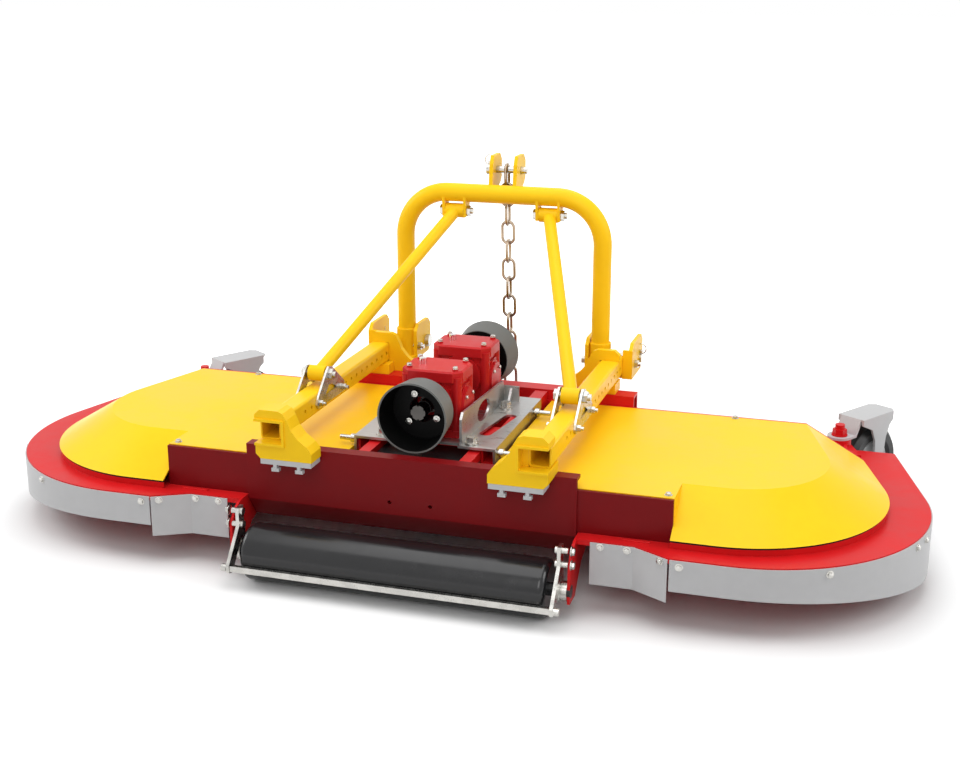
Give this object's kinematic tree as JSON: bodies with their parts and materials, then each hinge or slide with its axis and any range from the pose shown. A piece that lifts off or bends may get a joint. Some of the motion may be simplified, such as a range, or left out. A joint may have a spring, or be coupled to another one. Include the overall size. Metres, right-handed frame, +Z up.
{
  "type": "rotary disc mower",
  "caption": "Tractor-mounted rotary mower: low red deck with yellow belt covers, roller in front, castors behind, yellow arch hitch and a drive stub at both ends.",
  "frame": {"origin": "tip of the drive stub at the roller side, on the drive axis", "axes": "+X across the machine along its width, +Y along the drive axis towards the hitch, +Z up"},
  "size_m": [2.262, 1.1054, 0.871],
  "materials": {
    "red_paint": "satin",
    "dark_red_paint": "satin",
    "yellow_paint": "gloss",
    "grey_paint": "satin",
    "stainless": "brushed",
    "zinc": "satin",
    "bright_steel": "satin",
    "chrome": "polished",
    "dark_steel": "satin",
    "cast_red": "painted",
    "cast_grey": "cast",
    "black_plastic": "matte",
    "black_rubber": "matte",
    "wheel_rubber": "matte"
  },
  "bodies": {
    "frame": {"arch": "yellow_paint", "belt_cover_left": "yellow_paint", "belt_cover_right": "yellow_paint", "belt_plate": "dark_steel", "brace_brackets": "zinc", "brace_left": "yellow_paint", "brace_right": "yellow_paint", "breathers": "chrome", "castor_bracket_left": "red_paint", "castor_bracket_right": "red_paint", "chain": "bright_steel", "chain_anchor": "red_paint", "clamp_jaws": "grey_paint", "cover_seals": "black_rubber", "cradle": "stainless", "cradle_screws": "zinc", "deck": "red_paint", "end_skirt_left": "grey_paint", "end_skirt_right": "grey_paint", "front_beam": "dark_red_paint", "front_clamp_left": "yellow_paint", "front_clamp_right": "yellow_paint", "front_panel_left": "grey_paint", "front_panel_right": "grey_paint", "gearbox_front": "cast_red", "gearbox_rear": "cast_red", "guard_front": "black_plastic", "guard_rear": "black_plastic", "hitch_beam_left": "yellow_paint", "hitch_beam_right": "yellow_paint", "hitch_bolts": "zinc", "hitch_pins": "zinc", "link_bracket_left": "yellow_paint", "link_bracket_right": "yellow_paint", "rear_beam": "red_paint", "rear_clamp_left": "yellow_paint", "rear_clamp_right": "yellow_paint", "rear_skirt": "grey_paint", "roller_arm_left": "zinc", "roller_arm_right": "zinc", "roller_flap": "black_rubber", "roller_plate_left": "red_paint", "roller_plate_right": "red_paint", "scraper": "zinc", "scraper_bolts": "zinc", "slide_rails": "red_paint", "spindle_centre": "cast_grey", "spindle_left": "cast_grey", "spindle_right": "cast_grey"},
    "rotor_left": {"rotor_left": "dark_steel"},
    "rotor_centre": {"rotor_centre": "dark_steel"},
    "rotor_right": {"rotor_right": "dark_steel"},
    "drive_shaft": {"drive_shaft": "bright_steel"},
    "roller": {"roller": "dark_steel"},
    "castor_fork_left": {"castor_fork_left": "grey_paint"},
    "castor_fork_right": {"castor_fork_right": "grey_paint"},
    "castor_wheel_left": {"castor_wheel_left": "wheel_rubber"},
    "castor_wheel_right": {"castor_wheel_right": "wheel_rubber"}
  },
  "joints": [
    {"name": "rotor_centre_spin", "type": "hinge", "parent": "frame", "child": "rotor_centre", "pos_m": [0, 0.246, -0.292], "axis": [0, 0, 1], "continuous": true},
    {"name": "rotor_left_spin", "type": "hinge", "parent": "frame", "child": "rotor_left", "pos_m": [-0.725, 0.246, -0.292], "axis": [0, 0, 1], "continuous": true},
    {"name": "rotor_right_spin", "type": "hinge", "parent": "frame", "child": "rotor_right", "pos_m": [0.725, 0.246, -0.292], "axis": [0, 0, 1], "continuous": true},
    {"name": "drive_spin", "type": "hinge", "parent": "frame", "child": "drive_shaft", "pos_m": [0, 0.251, 0], "axis": [0, 1, 0], "continuous": true},
    {"name": "roller_spin", "type": "hinge", "parent": "frame", "child": "roller", "pos_m": [0, -0.155, -0.316], "axis": [1, 0, 0], "continuous": true},
    {"name": "castor_left_swivel", "type": "hinge", "parent": "frame", "child": "castor_fork_left", "pos_m": [-0.897, 0.672, -0.184], "axis": [0, 0, 1], "range_deg": [-30, 95]},
    {"name": "castor_left_roll", "type": "hinge", "parent": "castor_fork_left", "child": "castor_wheel_left", "pos_m": [-0.83037, 0.77658, -0.282], "axis": [0.8434, -0.5373, 0], "continuous": true},
    {"name": "castor_right_swivel", "type": "hinge", "parent": "frame", "child": "castor_fork_right", "pos_m": [0.897, 0.672, -0.184], "axis": [0, 0, 1], "range_deg": [-30, 95]},
    {"name": "castor_right_roll", "type": "hinge", "parent": "castor_fork_right", "child": "castor_wheel_right", "pos_m": [0.96362, 0.77658, -0.282], "axis": [0.8434, -0.5373, 0], "continuous": true}
  ],
  "couplings": [
    {"joint": "rotor_left_spin", "follows": "rotor_centre_spin", "ratio": 1},
    {"joint": "rotor_right_spin", "follows": "rotor_centre_spin", "ratio": 1},
    {"joint": "drive_spin", "follows": "rotor_centre_spin", "ratio": 0.3}
  ]
}
